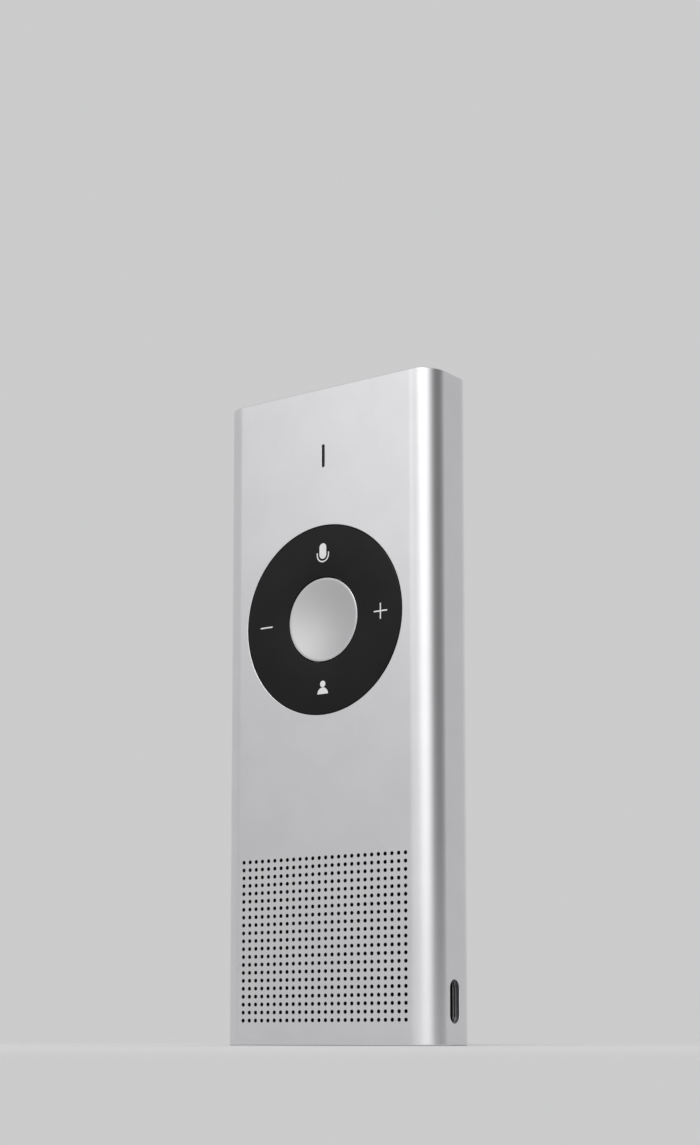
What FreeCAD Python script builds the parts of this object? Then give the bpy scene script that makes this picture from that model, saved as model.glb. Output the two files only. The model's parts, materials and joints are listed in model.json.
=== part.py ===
import FreeCAD, Part

import math
import os
import Sketcher
from FreeCAD import Placement, Rotation, Vector

# Handheld voice translator: a flat aluminium tube with a four-way rocker ring, a dished centre
# button, a drilled speaker field and a charging port in its right side.
# Millimetres. The device stands upright: +Z up, front face towards -Y, origin at the middle of
# its lower end.

doc = FreeCAD.newDocument("translator")

# Driving dimensions
SIZES = {
    # tube
    "width": 49.0,
    "depth": 13.0,
    "height": 124.5,
    "wall": 1.0,
    "front_corner": 4.8,
    "back_corner": 2.5,
    "end_chamfer": 0.25,
    # end caps
    "cap_plate": 1.2,
    "cap_recess": 0.2,
    "cap_fit": 0.08,
    "skirt_length": 1.9,
    "skirt_wall": 0.9,
    "sound_hole": 1.0,
    "sound_hole_offset": 8.0,
    # drilled speaker field
    "hole_across": 0.66,
    "hole_pitch": 1.5,
    "hole_columns": 26,
    "hole_rows": 21,
    "first_row": 4.65,
    "cloth_margin": 0.9,
    # indicator slot
    "slot_from_top": 13.2,
    "slot_length": 4.5,
    "slot_width": 0.7,
    "lens_fit": 0.04,
    "lens_recess": 0.3,
    "lens_flange": 0.5,
    "lens_lip": 0.8,
    "led_width": 1.2,
    "led_length": 2.4,
    "led_rise": 0.6,
    # charging port
    "port_height": 7.92,
    "port_depth": 7.13,
    "port_cut_length": 7.9,
    "port_cut_width": 3.0,
    "port_shell_width": 7.4,
    "port_shell_height": 2.5,
    "port_shell_length": 5.4,
    "port_sheet": 0.25,
    "port_wall_gap": 0.1,
    "tongue_width": 4.6,
    "tongue_thickness": 0.6,
    "tongue_length": 3.6,
    "charge_board_width": 12.0,
    "charge_board_length": 10.8,
    "charge_board_foot": 4.3,
    "shelf_sheet": 1.2,
    # keys
    "key_from_top": 44.85,
    "ring_across": 36.0,
    "button_across": 16.0,
    "key_gap": 0.15,
    "ring_lift": 0.5,
    "ring_flange": 0.6,
    "ring_flange_width": 1.2,
    "ring_counterbore": 10.0,
    "ring_bevel": 0.15,
    "button_lift": 0.35,
    "button_flange": 0.5,
    "button_flange_width": 1.4,
    "button_web": 0.65,
    "button_rim": 0.45,
    "dish_drop": 0.85,
    "stem_across": 3.0,
    "plunger_circle": 12.2,
    "plunger_across": 1.8,
    "plunger_gap": 0.03,
    # gimbal plate between the holder and the ring
    "gimbal_inner": 14.0,
    "gimbal_outer": 17.0,
    "gimbal_sheet": 0.2,
    "gimbal_room": 0.7,
    "gimbal_gap": 0.05,
    "gimbal_pin_across": 0.6,
    "gimbal_pin_reach": 19.4,
    "gimbal_pin_inset": 0.2,
    "gimbal_post_across": 1.6,
    # key holder
    "holder_inner": 17.7,
    "holder_outer": 20.4,
    "holder_rise": 1.3,
    "ear_offset": 15.6,
    "ear_width": 4.4,
    # dome switches
    "dome_across": 5.0,
    "dome_top_across": 2.6,
    "dome_rise": 0.35,
    "dome_sheet": 0.1,
    # circuit board
    "board_depth": 3.9,
    "board_sheet": 0.8,
    "board_margin": 1.7,
    "board_top_gap": 5.5,
    "board_foot_gap": 1.7,
    # inner frame
    "rail_width": 1.4,
    "rail_clearance": 0.1,
    "rail_back_gap": 1.7,
    "bar_width": 3.0,
    "bar_back_gap": 2.9,
    "lower_bar_gap": 2.35,
    "middle_bar_sheet": 2.0,
    "top_bar_from_top": 15.0,
    # battery
    "battery_side_gap": 2.5,
    "battery_end_gap": 0.8,
    "battery_thickness": 4.8,
    "battery_round": 1.6,
    "tape_sheet": 0.3,
    "tape_inset": 4.0,
    "lead_across": 0.9,
    "lead_spacing": 1.3,
    "lead_column": 12.0,
    "lead_rise": 7.2,
    "plug_width": 4.6,
    "plug_rise": 1.2,
    "plug_length": 3.0,
    # speaker
    "speaker_width": 32.0,
    "speaker_length": 24.0,
    "speaker_corner": 3.0,
    "cloth_sheet": 0.15,
    "gasket_sheet": 0.6,
    "gasket_width": 1.2,
    "basket_wall": 0.8,
    "speaker_ear_width": 6.0,
    "speaker_ear_lap": 0.9,
    "cone_sheet": 0.25,
    "cone_drop": 1.3,
    "cone_edge_gap": 0.1,
    "coil_across": 10.0,
    "magnet_across": 13.0,
    "magnet_length": 2.4,
    # chips, microphone and antenna
    "shield_rise": 1.4,
    "shield_gap": 2.0,
    "radio_shield_width": 11.0,
    "radio_shield_margin": 3.8,
    "shield_plug_gap": 1.7,
    "shield_bar_gap": 1.0,
    "shield_sheet": 0.2,
    "chip_rise": 0.9,
    "chip_side": 4.0,
    "microphone_width": 3.8,
    "microphone_length": 2.9,
    "microphone_rise": 1.1,
    "boot_margin": 0.7,
    "antenna_width": 30.0,
    "antenna_depth": 4.0,
    "antenna_sheet": 0.15,
    "flex_width": 3.2,
    "flex_sheet": 0.15,
    "flex_side_gap": 1.0,
    "flex_socket_gap": 0.2,
    "flex_foot_gap": 0.3,
    # fasteners
    "screw_shank": 1.4,
    "screw_head": 2.6,
    "screw_head_rise": 0.6,
    "screw_length": 3.0,
    "screw_fit": 0.02,
    "screw_column": 20.0,
    "screw_end_gap": 0.1,
    # how far a cutting tool reaches past what it cuts
    "cut_overrun": 1.0,
}

sheet = doc.addObject("Spreadsheet::Sheet", "dims")
for row, (alias, value) in enumerate(SIZES.items(), start=1):
    sheet.set(f"A{row}", alias)
    sheet.set(f"B{row}", str(value))
    sheet.setAlias(f"B{row}", alias)
doc.recompute()

# Planes that several pieces share, as expressions in the sheet's aliases
FRONT = "(-dims.depth / 2)"
FRONT_IN = "(-dims.depth / 2 + dims.wall)"
BACK_IN = "(dims.depth / 2 - dims.wall)"
SIDE_IN = "(dims.width / 2 - dims.wall)"
KEY_Z = "(dims.height - dims.key_from_top)"
SLOT_Z = "(dims.height - dims.slot_from_top)"
PORT_Y = f"({FRONT} + dims.port_depth)"
PORT_Z = "dims.port_height"
BOARD_FRONT = f"({FRONT} + dims.board_depth)"
BOARD_BACK = f"({BOARD_FRONT} + dims.board_sheet)"
BOARD_EDGE = f"({SIDE_IN} - dims.board_margin)"
BOARD_TOP = "(dims.height - dims.board_top_gap)"
DOME_TOP = f"({BOARD_FRONT} - dims.dome_rise)"
RING_CEILING = f"({FRONT_IN} + dims.ring_lift)"
RING_BACK = f"({RING_CEILING} + dims.ring_flange)"
GIMBAL_BACK = f"({BOARD_FRONT} - dims.gimbal_room)"
GIMBAL_FRONT = f"({GIMBAL_BACK} - dims.gimbal_sheet)"
GIMBAL_MIDDLE = f"({GIMBAL_BACK} - dims.gimbal_sheet / 2)"
SADDLE_ACROSS = "(dims.gimbal_pin_across + 2 * dims.gimbal_gap)"
HOLDER_FRONT = f"({BOARD_FRONT} - dims.holder_rise)"
FIELD_SPAN = "((dims.hole_columns - 1) * dims.hole_pitch)"
FIELD_RISE = "((dims.hole_rows - 1) * dims.hole_pitch)"
FIELD_TOP = f"(dims.first_row + {FIELD_RISE})"
SPEAKER_Z = f"(dims.first_row + {FIELD_RISE} / 2)"
SPEAKER_TOP = f"({SPEAKER_Z} + dims.speaker_length / 2)"
GASKET_FRONT = f"({FRONT_IN} + dims.cloth_sheet)"
BASKET_FRONT = f"({GASKET_FRONT} + dims.gasket_sheet)"
BOARD_FOOT = f"({SPEAKER_TOP} + dims.board_foot_gap)"
RAIL_OUT = f"({SIDE_IN} - dims.rail_clearance)"
RAIL_IN = f"({RAIL_OUT} - dims.rail_width)"
LOWER_BAR = f"({FIELD_TOP} + dims.lower_bar_gap)"
UPPER_BAR = f"({KEY_Z} + dims.ear_offset - dims.bar_width / 2)"
MIDDLE_BAR = f"({KEY_Z} - dims.ear_offset - dims.bar_width / 2)"
TOP_BAR = "(dims.height - dims.top_bar_from_top - dims.bar_width / 2)"
CAP_FACE = "dims.cap_recess"
CAP_INNER = "(dims.cap_recess + dims.cap_plate)"
FRAME_FOOT = f"({CAP_INNER} + dims.skirt_length)"
FRAME_TOP = f"(dims.height - {FRAME_FOOT})"
BATTERY_BACK = f"({BACK_IN} - dims.tape_sheet)"
BATTERY_FRONT = f"({BATTERY_BACK} - dims.battery_thickness)"
BATTERY_SIDE = f"({RAIL_IN} - dims.battery_side_gap)"
BATTERY_FOOT = f"({LOWER_BAR} + dims.bar_width + dims.battery_end_gap)"
BATTERY_TOP = f"({UPPER_BAR} - dims.battery_end_gap)"
PORT_BACK = f"({PORT_Y} + dims.port_shell_height / 2)"
PORT_END = f"({SIDE_IN} - dims.port_wall_gap)"
CHARGE_FOOT = f"({PORT_Z} - dims.charge_board_foot)"
CHARGE_TOP = f"({CHARGE_FOOT} + dims.charge_board_length)"
CHARGE_BACK = f"({PORT_BACK} + dims.board_sheet)"
CHARGE_LEFT = f"({RAIL_IN} - dims.charge_board_width)"

KEY_DIRECTIONS = {"up": (0, 1), "down": (0, -1), "left": (-1, 0), "right": (1, 0)}

# Half the diagonal of the square that is as large as a round hole, as a share of the hole's size
SQUARE_REACH = 0.6267

# Lower left corner of each chip: across from the middle, and up from the lower bar
CHIP_PLACES = ((-15, 8), (-6, 5), (2, 6), (10, 9))

# How much of the way from the bar to the plug the battery's wires use for their bend
LEAD_BEND = 0.45

nodes = []


def keep(piece, label):
    """Names a finished sub-part and lists it for export."""
    piece.Label = label
    nodes.append(piece)
    return piece


# Helpers for sketches and bodies


def new_body(name):
    return doc.addObject("PartDesign::Body", name)


def origin_plane(body, role):
    return next(item for item in body.Origin.OriginFeatures if item.Role == role)


def sketch_on(body, role, offset="0"):
    """A sketch on one of the body's origin planes, moved along the plane's normal."""
    sketch = body.newObject("Sketcher::SketchObject", "profile")
    sketch.AttachmentSupport = (origin_plane(body, role), [""])
    sketch.MapMode = "FlatFace"
    if offset != "0":
        sketch.setExpression("AttachmentOffset.Base.z", offset)
    return sketch


def bind(sketch, kind, *where_and_size):
    """Adds a dimension and ties it to an expression."""
    *where, size = where_and_size
    index = sketch.addConstraint(Sketcher.Constraint(kind, *where, 1.0))
    sketch.setExpression(f"Constraints[{index}]", size)


def place_point(sketch, geometry, point, x, y):
    """Holds a point at x, y from the sketch's origin."""
    if x == "0":
        sketch.addConstraint(Sketcher.Constraint("PointOnObject", geometry, point, -2))
    else:
        bind(sketch, "DistanceX", -1, 1, geometry, point, x)
    if y == "0":
        sketch.addConstraint(Sketcher.Constraint("PointOnObject", geometry, point, -1))
    else:
        bind(sketch, "DistanceY", -1, 1, geometry, point, y)


def polygon(sketch, corners):
    """A closed outline whose corners are given as expressions."""
    count = len(corners)
    turn = 2 * math.pi / count
    start = [Vector(math.cos(turn * i), math.sin(turn * i), 0) for i in range(count)]
    lines = [Part.LineSegment(start[i], start[(i + 1) % count]) for i in range(count)]
    first = sketch.addGeometry(lines)[0]
    for i in range(count):
        following = first + (i + 1) % count
        sketch.addConstraint(Sketcher.Constraint("Coincident", first + i, 2, following, 1))
    for i, (x, y) in enumerate(corners):
        place_point(sketch, first + i, 1, x, y)


def rectangle(sketch, left, right, low, high):
    polygon(sketch, [(left, low), (right, low), (right, high), (left, high)])


def circle(sketch, x, y, across):
    index = sketch.addGeometry(Part.Circle(Vector(1, 1, 0), Vector(0, 0, 1), 1))
    place_point(sketch, index, 3, x, y)
    bind(sketch, "Diameter", index, across)


def upright_slot(sketch, x, y, length, width):
    """A slot with round ends, its long side along the sketch's second axis."""
    upper = Part.ArcOfCircle(Part.Circle(Vector(0, 3, 0), Vector(0, 0, 1), 1), 0, math.pi)
    lower = Part.ArcOfCircle(Part.Circle(Vector(0, -3, 0), Vector(0, 0, 1), 1), math.pi, 2 * math.pi)
    right = Part.LineSegment(Vector(1, -3, 0), Vector(1, 3, 0))
    left = Part.LineSegment(Vector(-1, 3, 0), Vector(-1, -3, 0))
    top, bottom, right_side, left_side = sketch.addGeometry([upper, lower, right, left])
    for arc, sign in ((top, "+"), (bottom, "-")):
        place_point(sketch, arc, 3, x, f"{y} {sign} ({length} - {width}) / 2")
        bind(sketch, "Radius", arc, f"{width} / 2")
        sketch.addConstraint(Sketcher.Constraint("Horizontal", arc, 3, arc, 1))
    sketch.addConstraint(Sketcher.Constraint("Coincident", right_side, 2, top, 1))
    sketch.addConstraint(Sketcher.Constraint("Coincident", top, 2, left_side, 1))
    sketch.addConstraint(Sketcher.Constraint("Coincident", left_side, 2, bottom, 1))
    sketch.addConstraint(Sketcher.Constraint("Coincident", bottom, 2, right_side, 1))
    sketch.addConstraint(Sketcher.Constraint("Vertical", right_side))
    sketch.addConstraint(Sketcher.Constraint("Vertical", left_side))


def pad(body, sketch, length, backward=False):
    feature = body.newObject("PartDesign::Pad", "pad")
    feature.Profile = sketch
    feature.setExpression("Length", length)
    feature.Reversed = backward
    return feature


def pocket(body, sketch, length, backward=False):
    feature = body.newObject("PartDesign::Pocket", "pocket")
    feature.Profile = sketch
    feature.setExpression("Length", length)
    feature.Reversed = backward
    return feature


def revolve(body, sketch, axis="V_Axis"):
    feature = body.newObject("PartDesign::Revolution", "revolution")
    feature.Profile = sketch
    feature.ReferenceAxis = (sketch, [axis])
    feature.Angle = 360
    return feature


def dress(body, kind, base, size, wanted):
    """Rounds or bevels the edges of base that wanted picks."""
    doc.recompute()
    edges = [f"Edge{i}" for i, edge in enumerate(base.Shape.Edges, 1) if wanted(edge)]
    feature = body.newObject(f"PartDesign::{kind}", kind.lower())
    feature.Base = (base, edges)
    feature.setExpression("Radius" if kind == "Fillet" else "Size", size)
    return feature


def runs_along(edge, axis):
    """Whether a straight edge lies along X, Y or Z."""
    if not isinstance(edge.Curve, Part.Line):
        return False
    return abs(abs(getattr(edge.Curve.Direction, axis)) - 1) < 1e-6


def upright(edge, front):
    return runs_along(edge, "z") and (edge.CenterOfMass.y < 0) == front


# Helpers for plain blocks, rods and their sums and differences


def block(x, y, z, name="block"):
    """A box between two expressions along each axis."""
    piece = doc.addObject("Part::Box", name)
    for size, place, (low, high) in zip(("Length", "Width", "Height"), "xyz", (x, y, z)):
        piece.setExpression(size, f"{high} - ({low})")
        piece.setExpression(f"Placement.Base.{place}", low)
    return piece


def rod(x, z, front, back, across, name="rod"):
    """A cylinder along Y at x, z."""
    piece = doc.addObject("Part::Cylinder", name)
    piece.Placement = Placement(Vector(0, 0, 0), Rotation(Vector(1, 0, 0), -90))
    piece.setExpression("Radius", f"{across} / 2")
    piece.setExpression("Height", f"{back} - ({front})")
    piece.setExpression("Placement.Base.x", x)
    piece.setExpression("Placement.Base.y", front)
    piece.setExpression("Placement.Base.z", z)
    return piece


def joined(pieces, name="joined"):
    piece = doc.addObject("Part::MultiFuse", name)
    piece.Shapes = pieces
    piece.Refine = True
    return piece


def minus(base, tool, name="minus"):
    piece = doc.addObject("Part::Cut", name)
    piece.Base = base
    piece.Tool = tool
    return piece


def group(pieces, name="group"):
    """Separate solids that share one node."""
    piece = doc.addObject("Part::Compound", name)
    piece.Links = pieces
    return piece


def outer_end_edge(edge):
    """Whether an edge runs round the outside of either end of the tube."""
    half_width = float(sheet.get("width")) / 2
    half_depth = float(sheet.get("depth")) / 2
    middle_of_wall = float(sheet.get("wall")) / 2
    reach = edge.BoundBox
    outside_x = max(reach.XMax, -reach.XMin) > half_width - middle_of_wall
    outside_y = max(reach.YMax, -reach.YMin) > half_depth - middle_of_wall
    return reach.ZLength < 1e-6 and (outside_x or outside_y)


def make_sleeve():
    """The extruded tube with its apertures; the drilled field is a pattern of one hole."""
    body = new_body("sleeve")
    outline = sketch_on(body, "XY_Plane")
    rectangle(outline, "-dims.width / 2", "dims.width / 2", "-dims.depth / 2", "dims.depth / 2")
    feature = pad(body, outline, "dims.height")
    feature = dress(body, "Fillet", feature, "dims.front_corner", lambda edge: upright(edge, True))
    feature = dress(body, "Fillet", feature, "dims.back_corner", lambda edge: upright(edge, False))
    doc.recompute()
    open_ends = [
        f"Face{i}" for i, face in enumerate(feature.Shape.Faces, 1)
        if face.BoundBox.ZLength < 1e-6]
    hollow = body.newObject("PartDesign::Thickness", "hollow")
    hollow.Base = (feature, open_ends)
    hollow.setExpression("Value", "dims.wall")
    hollow.Reversed = True
    hollow.Join = "Arc"
    dress(body, "Chamfer", hollow, "dims.end_chamfer", outer_end_edge)

    aperture = sketch_on(body, "XZ_Plane")
    circle(aperture, "0", KEY_Z, "dims.ring_across + 2 * dims.key_gap")
    pocket(body, aperture, "dims.depth", backward=True)
    slot = sketch_on(body, "XZ_Plane")
    upright_slot(slot, "0", SLOT_Z, "dims.slot_length", "dims.slot_width")
    pocket(body, slot, "dims.depth", backward=True)
    port = sketch_on(body, "YZ_Plane")
    upright_slot(port, PORT_Y, PORT_Z, "dims.port_cut_length", "dims.port_cut_width")
    pocket(body, port, "dims.width", backward=True)

    # One hole at the lower left, drawn as a square on its corner, then repeated both ways
    first = sketch_on(body, "XZ_Plane")
    middle = f"(-{FIELD_SPAN} / 2)"
    reach = f"dims.hole_across * {SQUARE_REACH}"
    polygon(first, [
        (f"{middle} + {reach}", "dims.first_row"),
        (middle, f"dims.first_row + {reach}"),
        (f"{middle} - {reach}", "dims.first_row"),
        (middle, f"dims.first_row - {reach}")])
    hole = pocket(body, first, "dims.depth", backward=True)
    field = body.newObject("PartDesign::LinearPattern", "field")
    field.Originals = [hole]
    field.Direction = (first, ["H_Axis"])
    field.setExpression("Length", FIELD_SPAN)
    field.setExpression("Occurrences", "dims.hole_columns")
    body.Tip = field
    field.Direction2 = (first, ["V_Axis"])
    field.setExpression("Length2", FIELD_RISE)
    field.setExpression("Occurrences2", "dims.hole_rows")
    keep(body, "body_sleeve")


def make_end_cap(label, top):
    """A plate with a skirt that plugs the tube's end."""
    body = new_body(label)
    start = f"dims.height - {CAP_FACE}" if top else CAP_FACE
    inner = f"dims.height - {CAP_INNER}" if top else CAP_INNER
    edge = f"({SIDE_IN} - dims.cap_fit)"
    front = f"({FRONT_IN} + dims.cap_fit)"
    back = f"({BACK_IN} - dims.cap_fit)"
    outline = sketch_on(body, "XY_Plane", start)
    rectangle(outline, f"-{edge}", edge, front, back)
    feature = pad(body, outline, "dims.cap_plate + dims.skirt_length", backward=top)
    feature = dress(
        body, "Fillet", feature, "dims.front_corner - dims.wall - dims.cap_fit",
        lambda item: upright(item, True))
    dress(
        body, "Fillet", feature, "dims.back_corner - dims.wall - dims.cap_fit",
        lambda item: upright(item, False))
    hollow = sketch_on(body, "XY_Plane", inner)
    rectangle(
        hollow, f"-({edge} - dims.skirt_wall)", f"{edge} - dims.skirt_wall",
        f"{front} + dims.skirt_wall", f"{back} - dims.skirt_wall")
    pocket(body, hollow, "dims.skirt_length", backward=not top)
    if top:
        bore = sketch_on(body, "XY_Plane", start)
        circle(bore, "-dims.sound_hole_offset", "0", "dims.sound_hole")
        pocket(body, bore, "dims.cap_plate")
    keep(body, label)


def make_nav_ring():
    """The rocker ring: flange, counterbore for the button, four plungers, two pivot posts."""
    body = new_body("ring")
    profile = sketch_on(body, "XY_Plane", KEY_Z)
    inner = "(dims.button_across / 2 + dims.key_gap)"
    outer = "(dims.ring_across / 2)"
    bevel = "dims.ring_bevel"
    polygon(profile, [
        (inner, f"{FRONT} + {bevel}"), (f"{inner} + {bevel}", FRONT),
        (f"{outer} - {bevel}", FRONT), (outer, f"{FRONT} + {bevel}"), (outer, RING_CEILING),
        (f"{outer} + dims.ring_flange_width", RING_CEILING),
        (f"{outer} + dims.ring_flange_width", RING_BACK),
        ("dims.ring_counterbore", RING_BACK), ("dims.ring_counterbore", RING_CEILING),
        (inner, RING_CEILING)])
    revolve(body, profile)
    plungers = sketch_on(body, "XZ_Plane", f"-({RING_CEILING} + dims.ring_flange / 2)")
    for across, up in KEY_DIRECTIONS.values():
        x = f"{across} * dims.plunger_circle" if across else "0"
        circle(plungers, x, f"{KEY_Z} + {up} * dims.plunger_circle", "dims.plunger_across")
    pad(body, plungers, f"{DOME_TOP} - dims.plunger_gap - ({RING_CEILING} + dims.ring_flange / 2)",
        backward=True)
    posts = sketch_on(body, "XZ_Plane", f"-({RING_CEILING} + dims.ring_flange / 2)")
    for side in (-1, 1):
        circle(posts, f"{side} * (dims.gimbal_inner + dims.gimbal_outer) / 2", KEY_Z,
               "dims.gimbal_post_across")
    pad(body, posts, f"{GIMBAL_FRONT} - dims.gimbal_gap - ({RING_CEILING} + dims.ring_flange / 2)",
        backward=True)
    start = "dims.gimbal_inner"
    for leftward, sign in ((False, "+"), (True, "-")):
        saddle = sketch_on(body, "YZ_Plane", f"{sign}{start}")
        circle(saddle, GIMBAL_MIDDLE, KEY_Z, SADDLE_ACROSS)
        pocket(body, saddle, "dims.gimbal_outer - dims.gimbal_inner", backward=not leftward)
    keep(body, "nav_ring")


def make_centre_button():
    """The dished centre key with a retaining flange and a stem over its dome."""
    body = new_body("button")
    profile = sketch_on(body, "XY_Plane", KEY_Z)
    radius = "(dims.button_across / 2)"
    flange_front = f"({RING_CEILING} + dims.button_lift)"
    flange_back = f"({flange_front} + dims.button_flange)"
    web = f"({FRONT} + dims.dish_drop + dims.button_web)"
    hollow = f"({radius} - dims.button_flange_width)"
    stem = "(dims.stem_across / 2)"
    tip = f"({DOME_TOP} - dims.plunger_gap)"
    polygon(profile, [
        ("0", FRONT), (radius, FRONT), (radius, flange_front),
        (f"{radius} + dims.button_flange_width", flange_front),
        (f"{radius} + dims.button_flange_width", flange_back),
        (hollow, flange_back), (hollow, web), (stem, web), (stem, tip), ("0", tip)])
    revolve(body, profile)
    rim = f"({radius} - dims.button_rim)"
    dish = body.newObject("PartDesign::SubtractiveSphere", "dish")
    ball = f"(({rim} * {rim} + dims.dish_drop * dims.dish_drop) / (2 * dims.dish_drop))"
    dish.setExpression("Radius", ball)
    dish.setExpression("Placement.Base.y", f"{FRONT} + dims.dish_drop - {ball}")
    dish.setExpression("Placement.Base.z", KEY_Z)
    keep(body, "centre_button")


def make_gimbal_plate():
    """Thin steel ring: two pins seated in the holder, two pins that carry the rocker ring."""
    body = new_body("gimbal")
    plate = sketch_on(body, "XZ_Plane", f"-{GIMBAL_FRONT}")
    circle(plate, "0", KEY_Z, "2 * dims.gimbal_outer")
    circle(plate, "0", KEY_Z, "2 * dims.gimbal_inner")
    pad(body, plate, "dims.gimbal_sheet", backward=True)
    start = "(dims.gimbal_inner + dims.gimbal_pin_inset)"
    for downward, sign in ((False, "+"), (True, "-")):
        upright_pin = sketch_on(body, "XY_Plane", f"{KEY_Z} {sign} {start}")
        circle(upright_pin, "0", GIMBAL_MIDDLE, "dims.gimbal_pin_across")
        pad(body, upright_pin, f"dims.gimbal_pin_reach - {start}", backward=downward)
        level_pin = sketch_on(body, "YZ_Plane", f"{sign}{start}")
        circle(level_pin, GIMBAL_MIDDLE, KEY_Z, "dims.gimbal_pin_across")
        pad(body, level_pin, f"dims.gimbal_outer - dims.gimbal_pin_inset - {start}",
            backward=downward)
    keep(body, "gimbal_plate")


def ear_places():
    """The four screwed ears of the key holder."""
    return [
        (f"{side} * dims.ear_offset", f"{KEY_Z} + {up} * dims.ear_offset")
        for side in (-1, 1) for up in (-1, 1)]


def board_screw_places():
    """The six screws that hold the board on the frame's bars."""
    return [
        (f"{side} * dims.screw_column", f"{bar} + dims.bar_width / 2")
        for side in (-1, 1) for bar in (LOWER_BAR, UPPER_BAR, TOP_BAR)]


def make_key_holder():
    """The guide ring behind the keys, with open saddles for the gimbal's upright pins."""
    body = new_body("holder")
    ring = sketch_on(body, "XZ_Plane", f"-{BOARD_FRONT}")
    circle(ring, "0", KEY_Z, "2 * dims.holder_outer")
    pad(body, ring, "dims.holder_rise")
    ears = sketch_on(body, "XZ_Plane", f"-{BOARD_FRONT}")
    half = "dims.ear_width / 2"
    for x, z in ear_places():
        rectangle(ears, f"{x} - {half}", f"{x} + {half}", f"{z} - {half}", f"{z} + {half}")
    pad(body, ears, "dims.holder_rise")
    opening = sketch_on(body, "XZ_Plane", f"-{HOLDER_FRONT}")
    circle(opening, "0", KEY_Z, "2 * dims.holder_inner")
    pocket(body, opening, "dims.holder_rise")
    for downward, sign in ((False, "+"), (True, "-")):
        notch = sketch_on(body, "XZ_Plane", f"-{HOLDER_FRONT}")
        near = "(dims.holder_inner - dims.cut_overrun)"
        far = "(dims.gimbal_pin_reach + dims.gimbal_gap)"
        rectangle(
            notch, f"-{SADDLE_ACROSS} / 2", f"{SADDLE_ACROSS} / 2",
            f"{KEY_Z} {sign} {near}", f"{KEY_Z} {sign} {far}")
        pocket(body, notch, f"{GIMBAL_MIDDLE} - {HOLDER_FRONT}")
        saddle = sketch_on(body, "XY_Plane", f"{KEY_Z} {sign} {near}")
        circle(saddle, "0", GIMBAL_MIDDLE, SADDLE_ACROSS)
        pocket(body, saddle, f"{far} - {near}", backward=not downward)
    bores = sketch_on(body, "XZ_Plane", f"-{HOLDER_FRONT}")
    for x, z in ear_places():
        circle(bores, x, z, "dims.screw_shank + 2 * dims.screw_fit")
    pocket(body, bores, "dims.holder_rise")
    keep(body, "key_holder")


def make_domes():
    """Five snap domes: one under each plunger and one under the button's stem."""
    for direction, (across, up) in {**KEY_DIRECTIONS, "centre": (0, 0)}.items():
        body = new_body(f"dome_{direction}")
        profile = sketch_on(body, "XY_Plane")
        foot = "dims.dome_across / 2"
        top = "dims.dome_top_across / 2"
        polygon(profile, [
            (foot, "0"), (top, "-dims.dome_rise"), ("0", "-dims.dome_rise"),
            ("0", "dims.dome_sheet - dims.dome_rise"),
            (f"{top} - dims.dome_sheet", "dims.dome_sheet - dims.dome_rise"),
            (f"{foot} - 2 * dims.dome_sheet", "0")])
        revolve(body, profile)
        body.setExpression("Placement.Base.x", f"{across} * dims.plunger_circle")
        body.setExpression("Placement.Base.y", BOARD_FRONT)
        body.setExpression("Placement.Base.z", f"{KEY_Z} + {up} * dims.plunger_circle")
        keep(body, f"dome_switch_{direction}")


def make_main_board():
    body = new_body("board")
    outline = sketch_on(body, "XZ_Plane", f"-{BOARD_BACK}")
    rectangle(outline, f"-{BOARD_EDGE}", BOARD_EDGE, BOARD_FOOT, BOARD_TOP)
    pad(body, outline, "dims.board_sheet")
    bores = sketch_on(body, "XZ_Plane", f"-{BOARD_FRONT}")
    for x, z in ear_places() + board_screw_places():
        circle(bores, x, z, "dims.screw_shank + 2 * dims.screw_fit")
    pocket(body, bores, "dims.board_sheet")
    keep(body, "main_circuit_board")


def screw(x, z, seat):
    """A pan-head screw whose head sits on seat and whose shank runs back from it."""
    head = rod(x, z, f"{seat} - dims.screw_head_rise", seat, "dims.screw_head")
    shank = rod(x, z, seat, f"{seat} + dims.screw_length", "dims.screw_shank")
    return joined([head, shank], "screw")


def make_screws():
    keep(group([screw(x, z, BOARD_FRONT) for x, z in board_screw_places()]), "board_screws")
    keep(group([screw(x, z, HOLDER_FRONT) for x, z in ear_places()]), "holder_screws")


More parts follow.
